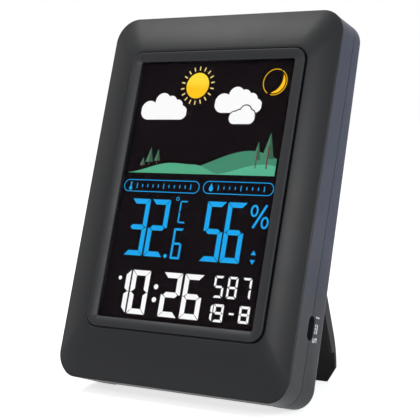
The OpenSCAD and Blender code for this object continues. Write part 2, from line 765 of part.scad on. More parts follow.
// A round button with its retaining flange and a stem to its switch
module button(i) stance() color([0.45, 0.46, 0.5]) rear() {
    b = buttons[i];
    stem_end = board_y1 + switch_h + plunger_h + button_travel + 0.15;
    stem_out = stem_end - rear_y(b[1] + 4);
    bar(b[0], b[1], -wall - 0.2, button_out, button_r);
    bar(b[0], b[1], -wall - 0.2 - button_flange_t, -wall - 0.2, button_flange_r);
    bar(b[0], b[1], stem_out, -wall - 0.2, stem_r);
}

module set_button() button(0);
module up_button() button(1);
module down_button() button(2);
module alarm_button() button(3);
module light_button() button(4);

// ---- Stand ----

// Points along the leg's profile at a distance in from its outer face, from
// a straight start at one height through a bend from one angle to another
function leg_curve(inset, bend) = concat([[hinge_in - inset, -bend[2]]],
    [for (k = [0:bend_steps]) let (a = bend[0] + (bend[1] - bend[0]) * k / bend_steps)
        bend_centre + (leg_bend_r - inset) * [cos(a), -sin(a)]]);
function backwards(points) = [for (k = [len(points) - 1:-1:0]) points[k]];

// Carries a profile of the leg along the hinge axis from x0 to x1
module along_hinge(x0, x1) {
    translate([x0, 0, 0]) rotate([90, 0, 90]) linear_extrude(x1 - x0) children();
}

// The leg: a plate with a curved end, side flanges and a heel that stops it
module stand_leg() stance() color([0.42, 0.42, 0.43]) leg_frame() difference() {
    union() {
        intersection() {
            along_hinge(-leg_w / 2, leg_w / 2) polygon(concat(leg_curve(0, [0, leg_bend + 3, -leg_top]),
                backwards(leg_curve(leg_t, [0, leg_bend + 3, -leg_top]))));
            rotate([90, 0, 0]) linear_extrude(leg_bend_r * 2, center = true) polygon([
                [-leg_w / 2, leg_top], [leg_w / 2, leg_top], [leg_w / 2, -leg_reach + foot_rise],
                [leg_w / 2 - foot_cut, -leg_reach - 1], [-leg_w / 2 + foot_cut, -leg_reach - 1],
                [-leg_w / 2, -leg_reach + foot_rise]]);
        }
        for (x = [-leg_w / 2, leg_w / 2 - leg_flange_t]) along_hinge(x, x + leg_flange_t)
            polygon(concat(leg_curve(0, [0, flange_turn, 0]),
                [bend_centre + (leg_bend_r - flange_end_d) * [cos(flange_turn), -sin(flange_turn)]],
                [[hinge_in - flange_d, 0]]));
        for (x = [-leg_w / 2, leg_w / 2 - ear_w]) {
            along_hinge(x, x + ear_w) circle(hinge_in - 0.1);
            along_hinge(x, x + ear_w) square([hinge_in, leg_top]);
        }
    }
    along_hinge(-leg_w, leg_w) circle(pin_r + pin_fit);
    // the foot's sole, level with the floor when the leg is open
    translate([0, foot_mid[0], foot_mid[1]]) rotate([lean - wedge - open_angle, 0, 0])
        block([-leg_w, -leg_w, -leg_w], [leg_w, leg_w, 0]);
}

// The two pins that the leg turns on
module hinge_pins() stance() color([0.7, 0.7, 0.72]) for (x = [-1, 1]) rear()
    translate([x * (recess_w / 2 + pin_socket - pin_len / 2 - 0.2), -hinge_in, hinge_z])
        rotate([0, 90, 0]) cylinder(h = pin_len, r = pin_r, center = true);

module case_screws() stance() color([0.6, 0.6, 0.62]) for (p = screw_places) difference() {
    union() {
        bar(p[0], p[1], seat_y, seat_y + screw_head_t, screw_head_r);
        bar(p[0], p[1], seat_y - case_screw_len, seat_y + skin, case_screw_r);
    }
    for (a = [0, 90]) translate([p[0], seat_y + screw_head_t, p[1]]) rotate([0, a, 0])
        cube([3, 1.6, 0.7], center = true);
}

front_frame();
mid_housing();
rear_cover();
display_bezel();
display_window();
lcd_panel();
light_guide();
reflector_film();
backlight_strip();
lcd_holder();
display_ribbon();
main_board();
board_chips();
tact_switches();
board_screws();
usb_board();
usb_shell();
usb_tongue();
climate_sensor();
buzzer();
battery_cell_a();
battery_cell_b();
battery_cell_c();
battery_springs();
battery_plates();
battery_door();
set_button();
up_button();
down_button();
alarm_button();
light_button();
stand_leg();
hinge_pins();
case_screws();
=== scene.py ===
"""Looks of the home weather station: smooth shells, the lit display, printed marks and moulded finishes.

Every shape is worked out in the case frame, in millimetres: X to the right seen from the front,
Y backwards from the front ridge, Z up along the face. place() carries it into the shared frame.
"""
import json
import math

import bmesh
import bpy
import numpy as np
from mathutils import Euler, Matrix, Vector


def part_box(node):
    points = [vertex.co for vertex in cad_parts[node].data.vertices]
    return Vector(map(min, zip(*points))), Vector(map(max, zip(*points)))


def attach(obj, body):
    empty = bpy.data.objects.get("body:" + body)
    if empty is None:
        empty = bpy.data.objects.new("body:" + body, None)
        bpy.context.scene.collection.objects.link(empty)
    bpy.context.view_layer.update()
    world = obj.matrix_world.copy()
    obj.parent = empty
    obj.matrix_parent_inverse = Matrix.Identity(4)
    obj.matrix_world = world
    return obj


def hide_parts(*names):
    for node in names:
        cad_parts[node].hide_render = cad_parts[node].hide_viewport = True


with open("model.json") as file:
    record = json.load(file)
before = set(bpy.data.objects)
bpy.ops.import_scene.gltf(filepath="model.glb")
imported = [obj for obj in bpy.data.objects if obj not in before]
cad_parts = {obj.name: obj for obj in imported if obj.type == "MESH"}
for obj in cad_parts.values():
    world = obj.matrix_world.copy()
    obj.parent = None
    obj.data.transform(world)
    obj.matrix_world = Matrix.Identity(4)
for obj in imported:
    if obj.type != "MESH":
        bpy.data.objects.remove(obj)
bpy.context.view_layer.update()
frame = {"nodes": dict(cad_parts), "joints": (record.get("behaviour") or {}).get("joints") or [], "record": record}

# ---- Sizes, in millimetres, as in the part ----

MM = 0.001

# The case: its width from the frame, its height along the face, and its depth at the top and the bottom
CASE_W = (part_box("mid_housing")[1].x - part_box("mid_housing")[0].x) / MM
CASE_H = 185.0
CORNER_R = 10.0
DEPTH_TOP, DEPTH_BOTTOM = 25.2, 31.5
WEDGE = math.atan((DEPTH_BOTTOM - DEPTH_TOP) / CASE_H)

# The front frame: its fall from ridge to edge, and how far it stands over the case at sides and top
FRAME_FALL = 3.6
FRAME_POWER = 1.5
FRAME_OVER, FRAME_OVER_TOP = 1.1, 0.6
FRAME_R = 12.5
FRONT_W, FRONT_H = CASE_W + 2 * FRAME_OVER, CASE_H + FRAME_OVER_TOP
RIDGE_R = 7.0

# The seam behind the front frame: its width, and how far its floor lies inside the case's side
FRONT_SEAM = 0.5
SEAM_IN = 0.8

# The side band: its start behind the seam, its front wall, and the clearance around what sits in it
BAND_Y0 = FRAME_FALL + FRONT_SEAM
FLANGE_T = 1.4
FIT = 0.1

# The window: its size from the frame and along the face, its foot, and how deep it lies
WINDOW_W = (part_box("display_window")[1].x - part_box("display_window")[0].x) / MM
WINDOW_H, WINDOW_Z, WINDOW_R = 129.8, 31.0, 1.2
WINDOW_SET, WINDOW_T = 1.0, 1.0
WINDOW_IN = 0.85

# The bezel: its width on each side, its crown above the ridge, the gap around it and its hidden flange
BEVEL_SIDE, BEVEL_TOP, BEVEL_BOTTOM = 5.9, 5.0, 5.1
BEZEL_OUT, BEZEL_EDGE, BEZEL_POWER = 0.9, 0.5, 1.7
BEZEL_GAP, BEZEL_GAP_TOP, BEZEL_GAP_D = 0.6, 0.3, 1.8
BEZEL_FLANGE, BEZEL_FLANGE_T = 3.0, 1.5
RIDGE_W = WINDOW_W + 2 * (BEVEL_SIDE + BEZEL_GAP)
RIDGE_Z0 = WINDOW_Z - BEVEL_BOTTOM - BEZEL_GAP
RIDGE_Z1 = WINDOW_Z + WINDOW_H + BEVEL_TOP + BEZEL_GAP_TOP

# The rear face's normal is the battery door's way out; the front face leans further by the wedge
DOOR_AXIS = next(j["axis"] for j in frame["joints"] if j["name"] == "battery_door_lift")
LEAN = math.asin(-DOOR_AXIS[2]) + WEDGE
WINDOW_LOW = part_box("display_window")[0]
ORIGIN_Y = WINDOW_LOW.y / MM - WINDOW_SET * math.cos(LEAN) - WINDOW_Z * math.sin(LEAN)
ORIGIN_Z = WINDOW_LOW.z / MM + (WINDOW_SET + WINDOW_T) * math.sin(LEAN) - WINDOW_Z * math.cos(LEAN)


def place(points):
    """Case frame in mm to shared frame in m: a turn by the lean about X, then a shift."""
    p = np.asarray(points, float)
    c, s = math.cos(LEAN), math.sin(LEAN)
    return np.stack([p[..., 0], p[..., 1] * c + p[..., 2] * s + ORIGIN_Y,
                     -p[..., 1] * s + p[..., 2] * c + ORIGIN_Z], -1) * MM


def on_rear(points):
    """Rear frame, with Y out of the sloping rear face, to case frame: a turn by the wedge and a shift."""
    p = np.asarray(points, float)
    c, s = math.cos(WEDGE), math.sin(WEDGE)
    return np.stack([p[..., 0], p[..., 1] * c - p[..., 2] * s + DEPTH_BOTTOM,
                     p[..., 1] * s + p[..., 2] * c], -1)


# ---- Materials ----


def new_material(name):
    """An empty material, with its nodes, its links and its shader."""
    m = bpy.data.materials.new(name)
    m.use_nodes = True
    nodes, links = m.node_tree.nodes, m.node_tree.links
    return m, nodes, links, nodes["Principled BSDF"]


def noise_of(nodes, links, scale, detail=2.0):
    """A noise over Object coordinates; scale is in waves per metre."""
    where = nodes.new("ShaderNodeTexCoord")
    noise = nodes.new("ShaderNodeTexNoise")
    noise.inputs["Scale"].default_value = scale
    noise.inputs["Detail"].default_value = detail
    links.new(where.outputs["Object"], noise.inputs["Vector"])
    return noise.outputs["Fac"]


def between(nodes, links, factor, low, high):
    """A value that runs from low to high as factor runs over the noise's middle range."""
    spread = nodes.new("ShaderNodeMapRange")
    spread.inputs["From Min"].default_value = 0.3
    spread.inputs["From Max"].default_value = 0.7
    spread.inputs["To Min"].default_value = low
    spread.inputs["To Max"].default_value = high
    links.new(factor, spread.inputs["Value"])
    return spread.outputs["Result"]


def mixed(nodes, links, factor, first, second):
    """A colour between first and second, each a colour or another mix's output."""
    mix = nodes.new("ShaderNodeMix")
    mix.data_type = "RGBA"
    for socket, colour in ((mix.inputs["A"], first), (mix.inputs["B"], second)):
        if isinstance(colour, tuple):
            socket.default_value = (*colour, 1)
        else:
            links.new(colour, socket)
    links.new(factor, mix.inputs["Factor"])
    return mix.outputs["Result"]


def roughened(nodes, links, shader, roughness, spread, grain, height):
    """Roughness varied by a soft noise, and a fine grain of that height in metres as bump."""
    soft = noise_of(nodes, links, scale=60, detail=3)
    uneven = between(nodes, links, soft, roughness - spread, roughness + spread)
    links.new(uneven, shader.inputs["Roughness"])
    bump = nodes.new("ShaderNodeBump")
    bump.inputs["Strength"].default_value = 1.0
    bump.inputs["Distance"].default_value = height
    links.new(noise_of(nodes, links, scale=grain), bump.inputs["Height"])
    links.new(bump.outputs["Normal"], shader.inputs["Normal"])


def shade(colour, factor):
    """A colour made darker or lighter by a factor."""
    return tuple(min(1.0, c * factor) for c in colour)


def plastic(name, colour, roughness=0.5, grain=2600, height=1.2e-5, specular=0.5, spread=0.04, vary=0.05):
    """Moulded plastic: a cloudy tone, a fine moulded grain and a slightly uneven sheen."""
    m, nodes, links, shader = new_material(name)
    cloudy = noise_of(nodes, links, scale=35, detail=4)
    tone = mixed(nodes, links, cloudy, shade(colour, 1 - vary), shade(colour, 1 + vary))
    links.new(tone, shader.inputs["Base Color"])
    shader.inputs["Specular IOR Level"].default_value = specular
    roughened(nodes, links, shader, roughness, spread, grain, height)
    return m


def height_blend(nodes, links, low, high):
    """A factor that rises from 0 at low to 1 at high, in metres above the ground."""
    where = nodes.new("ShaderNodeTexCoord")
    parts = nodes.new("ShaderNodeSeparateXYZ")
    links.new(where.outputs["Object"], parts.inputs["Vector"])
    ramp = nodes.new("ShaderNodeMapRange")
    ramp.interpolation_type = "SMOOTHSTEP"
    ramp.inputs["From Min"].default_value = low
    ramp.inputs["From Max"].default_value = high
    links.new(parts.outputs["Z"], ramp.inputs["Value"])
    return ramp.outputs["Result"]


def plastic_with_painted_reflection(name, low_colour, painted_reflection_colour, roughness, grain, height):
    """Moulded plastic whose tone turns from its own colour at the lower height to a painted bluish reflection at
    the upper one.
    """
    m, nodes, links, shader = new_material(name)
    base = mixed(nodes, links, height_blend(nodes, links, PAINTED_REFLECTION_LOW, PAINTED_REFLECTION_HIGH), low_colour, painted_reflection_colour)
    cloudy = noise_of(nodes, links, scale=45, detail=4)
    dark = mixed(nodes, links, cloudy, (0.93, 0.93, 0.93), (1.0, 1.0, 1.0))
    tone = nodes.new("ShaderNodeMix")
    tone.data_type = "RGBA"
    tone.blend_type = "MULTIPLY"
    tone.inputs["Factor"].default_value = 1.0
    links.new(base, tone.inputs["A"])
    links.new(dark, tone.inputs["B"])
    links.new(tone.outputs["Result"], shader.inputs["Base Color"])
    shader.inputs["Specular IOR Level"].default_value = 0.3
    roughened(nodes, links, shader, roughness, spread=0.04, grain=grain, height=height)
    return m


def metal(name, colour, roughness):
    """Plated steel: a metallic tone with fine brushed unevenness."""
    m, nodes, links, shader = new_material(name)
    cloudy = noise_of(nodes, links, scale=300, detail=4)
    tone = mixed(nodes, links, cloudy, shade(colour, 0.85), shade(colour, 1.1))
    links.new(tone, shader.inputs["Base Color"])
    shader.inputs["Metallic"].default_value = 1.0
    roughened(nodes, links, shader, roughness, spread=0.08, grain=900, height=4e-6)
    return m


def lit(name, colour, second=None, low=0.0, high=1.0):
    """A lit display element, faintly mottled; its colour can turn to a second one between two heights."""
    m, nodes, links, shader = new_material(name)
    mottle = noise_of(nodes, links, scale=900)
    glow = mixed(nodes, links, mottle, shade(colour, 0.97), colour)
    if second:
        glow = mixed(nodes, links, height_blend(nodes, links, low, high), glow, second)
    shader.inputs["Base Color"].default_value = (0.01, 0.01, 0.01, 1)
    shader.inputs["Roughness"].default_value = 0.5
    shader.inputs["Specular IOR Level"].default_value = 0.0
    links.new(glow, shader.inputs["Emission Color"])
    shader.inputs["Emission Strength"].default_value = 1.0
    return m


def clear_window():
    """The clear cover of the display: thin, with a low-glare coat and a soft unevenness in its gloss."""
    m, nodes, links, shader = new_material("clear_window")
    soft = noise_of(nodes, links, scale=40)
    links.new(mixed(nodes, links, soft, (0.97, 0.97, 0.98), (1, 1, 1)), shader.inputs["Base Color"])
    links.new(between(nodes, links, soft, 0.0, 0.012), shader.inputs["Roughness"])
    shader.inputs["IOR"].default_value = 1.012
    shader.inputs["Transmission Weight"].default_value = 1.0
    return m


def srgb(r, g, b):
    """A colour on the 0 to 255 display scale as linear light: a power curve, straight near black."""
    return tuple(((v / 255 + 0.055) / 1.055) ** 2.4 if v > 10 else v / 3294.6 for v in (r, g, b))


CHARCOAL = srgb(30, 31, 33)
# Slate-blue: a painted bluish reflection on the upper sides of the case, over the grey below
SLATE_PAINTED_REFLECTION = srgb(49, 55, 74)
GREY = srgb(33, 34, 37)
BLUE = srgb(0, 165, 236)
WHITE = srgb(252, 252, 252)
YELLOW = srgb(255, 198, 0)
SUN_TOP = srgb(255, 218, 48)
SUN_RAY = srgb(250, 224, 140)

# Heights above the ground, in metres, between which the sides of the case turn from grey to slate: a painted
# bluish reflection that grows towards the top
PAINTED_REFLECTION_LOW, PAINTED_REFLECTION_HIGH = 0.015, 0.095

FINISH = {
    "frame_plastic": plastic("frame_plastic", CHARCOAL, roughness=0.31, specular=0.22, spread=0.015),
    # Band and cover: grey low down, turning to slate-blue higher up as a painted bluish reflection
    "band_plastic": plastic_with_painted_reflection("band_plastic", GREY, SLATE_PAINTED_REFLECTION, roughness=0.42, grain=3200, height=4e-6),
    "cover_plastic": plastic_with_painted_reflection("cover_plastic", shade(GREY, 1.05), shade(SLATE_PAINTED_REFLECTION, 1.1),
                                    roughness=0.48, grain=2600, height=9e-6),
    "bezel_plastic": plastic("bezel_plastic", srgb(28, 29, 32), roughness=0.34, grain=3500, height=3e-6,
                             specular=0.28),
    "clear_window": clear_window(),
    "display_glass": plastic("display_glass", srgb(17, 13, 15), roughness=0.6, grain=5000, height=1e-6,
                             specular=0.0),
    "light_guide": plastic("light_guide", (0.82, 0.86, 0.9), roughness=0.15, grain=900, height=2e-6),
    "white_film": plastic("white_film", (0.85, 0.85, 0.85), grain=1500, height=2e-6),
    "holder_plastic": plastic("holder_plastic", (0.5, 0.5, 0.5)),
    "ribbon_film": plastic("ribbon_film", (0.48, 0.15, 0.02), roughness=0.3, grain=1200, height=2e-6),
    "circuit_board": plastic("circuit_board", (0.01, 0.09, 0.035), roughness=0.35, grain=1500, height=6e-6,
                             spread=0.06, vary=0.3),
    "chip_black": plastic("chip_black", (0.012, 0.012, 0.013), roughness=0.45, height=8e-6),
    "screw_steel": metal("screw_steel", (0.5, 0.5, 0.52), roughness=0.32),
    "connector_steel": metal("connector_steel", (0.62, 0.62, 0.64), roughness=0.26),
    "cell_jacket": plastic("cell_jacket", (0.02, 0.09, 0.25), roughness=0.25, grain=800, height=2e-6),
    "spring_steel": metal("spring_steel", (0.6, 0.6, 0.6), roughness=0.25),
    "button_plastic": plastic("button_plastic", srgb(96, 98, 104), roughness=0.42, grain=3200,
                              height=5e-6),
    "stand_plastic": plastic("stand_plastic", srgb(4, 4, 5), roughness=0.4, specular=0.22),
}
PRINT_WHITE = plastic("print_white", (0.8, 0.8, 0.8), roughness=0.55, grain=3000, height=3e-6)
BODY_OF = {node: body for body, nodes in frame["record"]["behaviour"]["bodies"].items() for node in nodes}
SLOT_OF = {p["node"]: p["material_slot"] for p in frame["record"]["subparts"]}

# ---- Mesh tools ----


def make_piece(name, verts, faces, material, body, smooth_angle=None):
    """A piece from points in the case frame: placed, coloured, and riding on its body."""
    mesh = bpy.data.meshes.new(name)
    mesh.from_pydata(place(verts).tolist(), [], [list(map(int, f)) for f in faces])
    mesh.validate()
    piece = bpy.data.objects.new(name, mesh)
    bpy.context.scene.collection.objects.link(piece)
    finish_faces(mesh, smooth_angle)
    mesh.materials.append(material)
    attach(piece, body)
    return piece


def finish_faces(mesh, smooth_angle, merge=0.0):
    """Merges doubles where a distance in metres is given, and turns the faces outwards where none is.

    With an angle in degrees, the faces are shaded smooth except along edges sharper than it.
    """
    bm = bmesh.new()
    bm.from_mesh(mesh)
    if merge:
        bmesh.ops.remove_doubles(bm, verts=bm.verts, dist=merge)
    else:
        bmesh.ops.recalc_face_normals(bm, faces=bm.faces)
    for f in bm.faces:
        f.smooth = smooth_angle is not None
    if smooth_angle is not None:
        limit = math.radians(smooth_angle)
        for e in bm.edges:
            e.smooth = len(e.link_faces) == 2 and e.calc_face_angle(0.0) < limit
    bm.to_mesh(mesh)
    bm.free()


def smoothed_copy(name, node):
    """A CAD node's shape, with its triangles merged and its round faces shaded smooth, in its place."""
    source = frame["nodes"][node]
    mesh = source.data.copy()
    mesh.name = name
    piece = bpy.data.objects.new(name, mesh)
    bpy.context.scene.collection.objects.link(piece)
    if mesh.has_custom_normals:
        bpy.context.view_layer.objects.active = piece
        with bpy.context.temp_override(object=piece, active_object=piece):
            bpy.ops.mesh.customdata_custom_splitnormals_clear()
    finish_faces(mesh, smooth_angle=32, merge=2e-6)
    mesh.materials.clear()
    mesh.materials.append(FINISH[SLOT_OF[node]])
    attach(piece, BODY_OF[node])
    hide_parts(node)


def rounded_loop(width, z0, z1, radius, corner_steps=16, side_steps=6):
    """Points around a rectangle with round corners, as many on each arc and each side at every size."""
    centres = [(width / 2 - radius, z0 + radius, -90), (width / 2 - radius, z1 - radius, 0),
               (radius - width / 2, z1 - radius, 90), (radius - width / 2, z0 + radius, 180)]
    arcs = []
    for cx, cz, start in centres:
        a = np.radians(start + np.linspace(0, 90, corner_steps + 1))
        arcs.append(np.stack([cx + radius * np.cos(a), cz + radius * np.sin(a)], -1))
    loop = []
    for i, arc in enumerate(arcs):
        loop.append(arc)
        t = np.linspace(0, 1, side_steps + 1)[1:-1, None]
        loop.append(arc[-1] * (1 - t) + arcs[(i + 1) % 4][0] * t)
    return np.concatenate(loop)


def ring_piece(name, sections, material, body, angle=40):
    """A closed ring: each section is a flat loop at its own depth, and the last joins the first."""
    rows = np.array([np.stack([loop[:, 0], np.full(len(loop), depth), loop[:, 1]], -1)
                     for loop, depth in sections])
    m, n = rows.shape[:2]
    i, j = np.meshgrid(np.arange(m), np.arange(n), indexing="ij")
    nexti, nextj = (i + 1) % m, (j + 1) % n
    quads = np.stack([i * n + j, i * n + nextj, nexti * n + nextj, nexti * n + j], -1).reshape(-1, 4)
    return make_piece(name, rows.reshape(-1, 3), quads, material, body, angle)


# ---- Housing ----


def frame_loop(t, inset=0.0):
    """The front frame's outline a share t of the way in from its edge to its ridge."""
    return rounded_loop(FRONT_W + (RIDGE_W - FRONT_W) * t - 2 * inset,
                        RIDGE_Z0 * t + inset,
                        FRONT_H + (RIDGE_Z1 - FRONT_H) * t - inset,
                        FRAME_R + (RIDGE_R - FRAME_R) * t - inset)


def band_loop(inset):
    """The side band's outline, drawn in by a distance."""
    return rounded_loop(CASE_W - 2 * inset, inset, CASE_H - inset, CORNER_R - inset)


def front_frame():
    """A pillow that falls as (1 - t) ** 1.5 from its ridge to its edge, both rounded, with a flat back."""
    edge_r, ridge_r, edge_land = 0.45, 0.6, 0.02
    slope_w = (FRONT_W - RIDGE_W) / 2
    sections = [(frame_loop(1, 0), BAND_Y0), (frame_loop(1, 0), ridge_r)]
    for a in np.radians([30, 60, 90]):
        sections.append((frame_loop(1, -ridge_r * (1 - math.cos(a))), ridge_r * (1 - math.sin(a))))
    t_edge = edge_r / slope_w
    for t in np.linspace(1 - ridge_r / slope_w, t_edge, 26)[1:]:
        sections.append((frame_loop(t), FRAME_FALL * (1 - t) ** FRAME_POWER))
    y_start = FRAME_FALL * (1 - t_edge) ** FRAME_POWER
    y_end = FRAME_FALL - edge_land
    for a in np.radians([22.5, 45, 67.5, 90]):
        sections.append((frame_loop(0, edge_r * (1 - math.sin(a))),
                         y_start + (y_end - y_start) * (1 - math.cos(a))))
    sections.append((frame_loop(0), FRAME_FALL))
    sections += [(band_loop(SEAM_IN), y) for y in (FRAME_FALL, BAND_Y0)]
    piece = ring_piece("front_frame_shell", sections, FINISH["frame_plastic"], "case")
    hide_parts("front_frame")


def bezel():
    """The crowned ring around the window.

    Depth at a share s of its width is inner - (out + inner) * (1 - (1 - s) ** 1.7): steepest at the
    window, level at the outer edge, which rounds over into the shadow gap.
    """
    inner = WINDOW_SET - WINDOW_IN

    def loop(s, inset=0.0):
        """Outline a share s of the way from the window to the outer edge."""
        return rounded_loop(WINDOW_W + 2 * (FIT + s * (BEVEL_SIDE - FIT) - inset),
                            WINDOW_Z - FIT - s * (BEVEL_BOTTOM - FIT) + inset,
                            WINDOW_Z + WINDOW_H + FIT + s * (BEVEL_TOP - FIT) - inset,
                            WINDOW_R + s * (RIDGE_R - BEZEL_GAP - WINDOW_R) - inset)

    def seat(grow):
        """Outline around the ridge, grown by a distance."""
        return rounded_loop(RIDGE_W + 2 * grow, RIDGE_Z0 - grow, RIDGE_Z1 + grow, RIDGE_R + grow)

    back = BAND_Y0 + FLANGE_T
    flange = back + BEZEL_FLANGE_T
    lip = 0.18
    sections = [(loop(0), flange), (loop(0), inner + lip)]
    for a in np.radians([30, 60]):
        sections.append((loop(0, -lip * (1 - math.cos(a))), inner + lip * (1 - math.sin(a))))
    for s in np.linspace(0.04, 1, 24):
        sections.append((loop(s, s * BEZEL_EDGE),
                         inner - (BEZEL_OUT + inner) * (1 - (1 - s) ** BEZEL_POWER)))
    for a in np.radians([18, 36, 54, 72, 90]):
        sections.append((loop(1, BEZEL_EDGE * (1 - math.sin(a))),
                         -BEZEL_OUT + BEZEL_EDGE * (1 - math.cos(a))))
    sections += [(loop(1), BEZEL_GAP_D), (seat(-FIT), BEZEL_GAP_D), (seat(-FIT), back),
                 (seat(BEZEL_FLANGE), back), (seat(BEZEL_FLANGE), flange)]
    piece = ring_piece("bezel_ring", sections, FINISH["bezel_plastic"], "case", 50)
    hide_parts("display_bezel")


# ---- Display picture ----

ART_FRONT, ART_BACK = WINDOW_SET + WINDOW_T + 0.03, WINDOW_SET + WINDOW_T + 0.08
DISC_STEPS, RING_STEPS = 48, 56

# How far a layer's front and back lie before ART_FRONT: a layer that lies further before covers the rest
NEAR_HILL_LAYER = 0.006, 0.003
CLOUD_RIM_LAYER = 0.008, 0.004
FRONT_HILL_LAYER = 0.012, 0.009
FIR_LAYER = 0.018, 0.015
SMALL_CLOUD_LAYER = 0.02, 0.012
TRUNK_LAYER = 0.024, 0.021


class Sheet:
    """Gathers thin flat shapes of one colour into one piece just behind the window."""

    def __init__(self, front=ART_FRONT, back=ART_BACK):
        self.points = np.empty((0, 3))
        self.faces = []
        self.front = front
        self.back = back

    def solid(self, outline, faces):
        """A flat shape given by its points and front faces, with its back and its sides."""
        outline = np.asarray(outline, float)
        n, base = len(outline), len(self.points)
        front, back = (np.insert(outline, 1, depth, axis=1) for depth in (self.front, self.back))
        self.points = np.concatenate([self.points, front, back])
        for f in faces:
            self.faces.append([base + v for v in f])
            self.faces.append([base + n + v for v in reversed(f)])
        edges = dict.fromkeys(pair for f in faces for pair in zip(f, f[1:] + f[:1]))
        for a, b in edges:
            if (b, a) not in edges:
                self.faces.append([base + b, base + a, base + n + a, base + n + b])

    def polygon(self, points):
        """A convex outline."""
        self.solid(points, [list(range(len(points)))])

    def strip(self, first, second, closed=False):
        """The band between two lines of as many points each."""
        n = len(first)
        count = n if closed else n - 1
        quads = [[i, (i + 1) % n, n + (i + 1) % n, n + i] for i in range(count)]
        self.solid(np.concatenate([first, second]), quads)

    def disc(self, x, z, r):
        """A round."""
        a = np.linspace(0, 2 * np.pi, DISC_STEPS, endpoint=False)
        self.polygon(np.stack([x + r * np.cos(a), z + r * np.sin(a)], -1))

    def ring(self, x, z, r, width, start=0.0, end=360.0, high=None):
        """An arc of a ring between two angles in degrees; high is an oval's half height."""
        high = high or r
        whole = end - start >= 360
        a = np.radians(np.linspace(start, end, RING_STEPS + 1))
        if whole:
            a = a[:-1]
        outer, inner = (np.stack([x + (r - w) * np.cos(a), z + (high - w) * np.sin(a)], -1)
                        for w in (0, width))
        self.strip(outer, inner, whole)

    def line(self, x0, z0, x1, z1, width):
        """A straight bar with square ends."""
        d = np.array([x1 - x0, z1 - z0])
        side = np.array([-d[1], d[0]]) / np.hypot(*d) * width / 2
        a, b = np.array([x0, z0]), np.array([x1, z1])
        self.polygon([a + side, a - side, b - side, b + side])

    def spokes(self, x, z, start_r, end_r, width, count, first=0.0):
        """Even bars that point away from a centre, the first of them at an angle in degrees."""
        for k in range(count):
            a = math.radians(360 / count * k + first)
            self.line(x + start_r * math.cos(a), z + start_r * math.sin(a),
                      x + end_r * math.cos(a), z + end_r * math.sin(a), width)

    def make(self, name, material):
        """The piece, which rides on the case."""
        make_piece(name, self.points, self.faces, material, "case")


def layer(ahead):
    """A sheet whose front and back lie those distances before the picture's front."""
    front, back = ahead
    return Sheet(ART_FRONT - front, ART_FRONT - back)


# Lit segments of each figure: a top, b and c right, d bottom, e and f left, g middle
SEGMENTS = {"0": "abcdef", "1": "bc", "2": "abged", "3": "abgcd", "5": "afgcd", "6": "afgedc",
            "7": "abc", "8": "abcdefg", "9": "abcdfg", "C": "afed"}


def figure(sheet, char, x, z, w, h, stroke, gap=0.25):
    """A seven-segment figure in a w by h cell: stroke is a bar's width, gap the dark line between two."""
    s, g, mid = stroke, gap / 2, h / 2
    tip = s / 2
    bars = {
        "a": [(g * 2, h), (w - g * 2, h), (w - s - g, h - s), (s + g, h - s)],
        "d": [(s + g, s), (w - s - g, s), (w - g * 2, 0), (g * 2, 0)],
        "f": [(0, h - g * 2), (0, mid + g), (tip * 0.6, mid + g), (s, mid + tip + g), (s, h - s - g)],
        "e": [(0, mid - g), (0, g * 2), (s, s + g), (s, mid - tip - g), (tip * 0.6, mid - g)],
        "b": [(w, h - g * 2), (w - s, h - s - g), (w - s, mid + tip + g),
              (w - tip * 0.6, mid + g), (w, mid + g)],
        "c": [(w, mid - g), (w - tip * 0.6, mid - g), (w - s, mid - tip - g),
              (w - s, s + g), (w, g * 2)],
        "g": [(tip + g, mid), (s + g, mid + tip), (w - s - g, mid + tip),
              (w - tip - g, mid), (w - s - g, mid - tip), (s + g, mid - tip)],
    }
    for name in SEGMENTS[char]:
        sheet.polygon(np.array(bars[name]) + (x, z))


def figures(sheet, chars, x, z, w, h, pitch, stroke, gap=0.25):
    """A row of equal figures."""
    for i, char in enumerate(chars):
        figure(sheet, char, x + i * pitch, z, w, h, stroke, gap)


def stadium(sheet, x0, x1, z0, z1, width):
    """The outline of a bar with round ends."""
    radius = (z1 - z0) / 2 - 1e-3
    outer = rounded_loop(x1 - x0, z0, z1, radius, side_steps=2)
    inner = rounded_loop(x1 - x0 - 2 * width, z0 + width, z1 - width, radius - width, side_steps=2)
    middle = np.array([(x0 + x1) / 2, 0])
    sheet.strip(outer + middle, inner + middle, True)


def cloud(sheet, x0, x1, z0, bumps, grow=0.0):
    """A cloud with a flat foot: its top is the highest of its round bumps (x, z, r) at every x."""
    x = np.linspace(x0 - grow, x1 + grow, 120)
    top = np.full_like(x, z0 + 0.01)
    for cx, cz, r in bumps:
        inside = np.clip((r + grow) ** 2 - (x - cx) ** 2, 0, None)
        top = np.maximum(top, np.where(inside > 0, cz + np.sqrt(inside), z0 + 0.01))
    foot = np.full_like(x, z0 - grow)
    for cx, cz, r in (bumps[0], bumps[-1]):
        side = x < cx if cx < (x0 + x1) / 2 else x > cx
        inside = np.sqrt(np.clip((r + grow) ** 2 - (x - cx) ** 2, 0, None))
        foot = np.where(side, np.maximum(foot, cz - inside), foot)
    keep = top - foot > 0.01
    sheet.strip(np.stack([x, foot], -1)[keep], np.stack([x, top], -1)[keep])


def smooth_line(x, points):
    """Heights of a curve through the given points: half a cosine wave from each one to the next."""
    px, pz = np.array(points).T
    i = np.clip(np.searchsorted(px, x, "right") - 1, 0, len(px) - 2)
    t = np.clip((x - px[i]) / (px[i + 1] - px[i]), 0, 1)
    return pz[i] + (pz[i + 1] - pz[i]) * (1 - np.cos(np.pi * t)) / 2


def sun():
    """A graded disc with even rays around it."""
    x, z = -9.5, 148.7
    rays = Sheet()
    rays.spokes(x, z, start_r=7.8, end_r=9.8, width=0.6, count=18, first=10)
    rays.make("sun_rays", lit("sun_rays", SUN_RAY))
    disc = Sheet()
    disc.disc(x, z, r=6.6)
    disc.make("sun_disc", lit("sun_disc", YELLOW, SUN_TOP, low=0.147, high=0.152))


